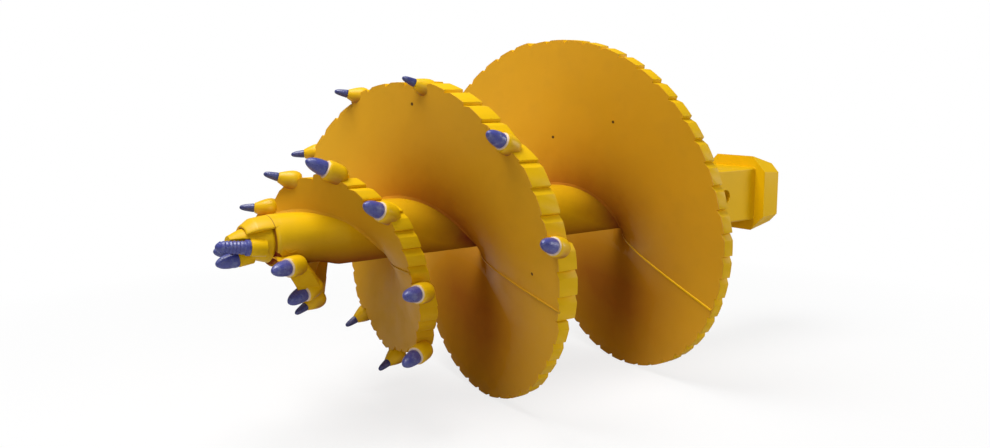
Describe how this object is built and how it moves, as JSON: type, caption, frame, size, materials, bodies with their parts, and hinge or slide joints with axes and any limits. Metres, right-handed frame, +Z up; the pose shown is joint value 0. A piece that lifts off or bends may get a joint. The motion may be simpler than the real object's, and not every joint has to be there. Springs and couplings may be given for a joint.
{
  "type": "rock auger",
  "caption": "Tapered double-start rock auger: stepped spiral flights with armoured rims, spinning rock picks, a pilot bit, and a square kelly box with a cross pin hole.",
  "frame": {"origin": "on the auger's axis, where the kelly pin crosses the kelly box", "axes": "+X along the axis from the pilot bit to the kelly box, +Y along the kelly pin's hole, +Z up as the auger lies on its side"},
  "size_m": [2.3023, 1.1998, 1.1844],
  "materials": {
    "yellow_paint": "gloss",
    "pick_blue": "satin"
  },
  "bodies": {
    "auger": {"nose": "yellow_paint", "core_tube": "yellow_paint", "pilot_bit": "yellow_paint", "kelly_box": "yellow_paint", "pick_holders_a": "yellow_paint", "pick_holders_b": "yellow_paint", "flight_a_lead": "yellow_paint", "flight_a_main": "yellow_paint", "flight_a_end": "yellow_paint", "flight_b_lead": "yellow_paint", "flight_b_end": "yellow_paint"},
    "pick_b_1": {"pick_b_1": "pick_blue"},
    "pick_b_2": {"pick_b_2": "pick_blue"},
    "pick_b_3": {"pick_b_3": "pick_blue"},
    "pick_b_4": {"pick_b_4": "pick_blue"},
    "pick_b_5": {"pick_b_5": "pick_blue"},
    "pick_b_6": {"pick_b_6": "pick_blue"},
    "pick_b_7": {"pick_b_7": "pick_blue"},
    "pick_b_8": {"pick_b_8": "pick_blue"},
    "pick_a_1": {"pick_a_1": "pick_blue"},
    "pick_a_2": {"pick_a_2": "pick_blue"},
    "pick_a_3": {"pick_a_3": "pick_blue"},
    "pick_a_4": {"pick_a_4": "pick_blue"},
    "pick_a_5": {"pick_a_5": "pick_blue"},
    "pick_a_6": {"pick_a_6": "pick_blue"},
    "pick_a_7": {"pick_a_7": "pick_blue"},
    "pick_a_8": {"pick_a_8": "pick_blue"},
    "pick_a_9": {"pick_a_9": "pick_blue"},
    "pick_pilot_1": {"pick_pilot_1": "pick_blue"},
    "pick_pilot_2": {"pick_pilot_2": "pick_blue"},
    "pick_pilot_3": {"pick_pilot_3": "pick_blue"}
  },
  "joints": [
    {"name": "pick_b_1_spin", "type": "hinge", "parent": "auger", "child": "pick_b_1", "pos_m": [-1.85788, 0.09193, 0.0841], "axis": [-0.9034, 0.4243, 0.063], "continuous": true},
    {"name": "pick_b_2_spin", "type": "hinge", "parent": "auger", "child": "pick_b_2", "pos_m": [-1.8016, 0.04824, 0.1731], "axis": [-0.9034, 0.3326, 0.2707], "continuous": true},
    {"name": "pick_b_3_spin", "type": "hinge", "parent": "auger", "child": "pick_b_3", "pos_m": [-1.72753, -0.09636, 0.20293], "axis": [-0.9034, 0.0778, 0.4218], "continuous": true},
    {"name": "pick_b_4_spin", "type": "hinge", "parent": "auger", "child": "pick_b_4", "pos_m": [-1.6476, -0.25292, 0.09512], "axis": [-0.9034, -0.2345, 0.3591], "continuous": true},
    {"name": "pick_b_5_spin", "type": "hinge", "parent": "auger", "child": "pick_b_5", "pos_m": [-1.56601, -0.30811, -0.13894], "axis": [-0.9034, -0.419, 0.0918], "continuous": true},
    {"name": "pick_b_6_spin", "type": "hinge", "parent": "auger", "child": "pick_b_6", "pos_m": [-1.50031, -0.19593, -0.35533], "axis": [-0.9034, -0.3911, -0.1761], "continuous": true},
    {"name": "pick_b_7_spin", "type": "hinge", "parent": "auger", "child": "pick_b_7", "pos_m": [-1.45981, 0.02733, -0.4331], "axis": [-0.9034, -0.2358, -0.3582], "continuous": true},
    {"name": "pick_b_8_spin", "type": "hinge", "parent": "auger", "child": "pick_b_8", "pos_m": [-1.41306, 0.31136, -0.3568], "axis": [-0.9034, 0.0302, -0.4278], "continuous": true},
    {"name": "pick_a_1_spin", "type": "hinge", "parent": "auger", "child": "pick_a_1", "pos_m": [-1.85123, -0.09649, -0.0637], "axis": [-0.9034, -0.4289, 0.0019], "continuous": true},
    {"name": "pick_a_2_spin", "type": "hinge", "parent": "auger", "child": "pick_a_2", "pos_m": [-1.7801, -0.04578, -0.15448], "axis": [-0.9034, -0.3355, -0.2672], "continuous": true},
    {"name": "pick_a_3_spin", "type": "hinge", "parent": "auger", "child": "pick_a_3", "pos_m": [-1.74471, 0.01281, -0.20807], "axis": [-0.9034, -0.2283, -0.3631], "continuous": true},
    {"name": "pick_a_4_spin", "type": "hinge", "parent": "auger", "child": "pick_a_4", "pos_m": [-1.65571, 0.25073, -0.12149], "axis": [-0.9034, 0.2003, -0.3792], "continuous": true},
    {"name": "pick_a_5_spin", "type": "hinge", "parent": "auger", "child": "pick_a_5", "pos_m": [-1.55598, 0.37567, 0.20996], "axis": [-0.9034, 0.425, -0.0579], "continuous": true},
    {"name": "pick_a_6_spin", "type": "hinge", "parent": "auger", "child": "pick_a_6", "pos_m": [-1.4909, 0.19151, 0.40606], "axis": [-0.9034, 0.3796, 0.1997], "continuous": true},
    {"name": "pick_a_7_spin", "type": "hinge", "parent": "auger", "child": "pick_a_7", "pos_m": [-1.42306, -0.09156, 0.44013], "axis": [-0.9034, 0.183, 0.3879], "continuous": true},
    {"name": "pick_a_8_spin", "type": "hinge", "parent": "auger", "child": "pick_a_8", "pos_m": [-1.3435, -0.40538, 0.28118], "axis": [-0.9034, -0.1336, 0.4076], "continuous": true},
    {"name": "pick_a_9_spin", "type": "hinge", "parent": "auger", "child": "pick_a_9", "pos_m": [-1.27988, -0.55334, -0.00065], "axis": [-0.9034, -0.3418, 0.2591], "continuous": true},
    {"name": "pick_pilot_1_spin", "type": "hinge", "parent": "auger", "child": "pick_pilot_1", "pos_m": [-1.93284, -0.04287, -0.00674], "axis": [-0.9837, 0.1442, 0.107], "continuous": true},
    {"name": "pick_pilot_2_spin", "type": "hinge", "parent": "auger", "child": "pick_pilot_2", "pos_m": [-1.9569, -0.00616, -0.04087], "axis": [-0.9903, -0.0589, -0.1257], "continuous": true},
    {"name": "pick_pilot_3_spin", "type": "hinge", "parent": "auger", "child": "pick_pilot_3", "pos_m": [-1.93889, 0.04129, -0.02313], "axis": [-0.9893, 0.1454, -0.0133], "continuous": true}
  ]
}
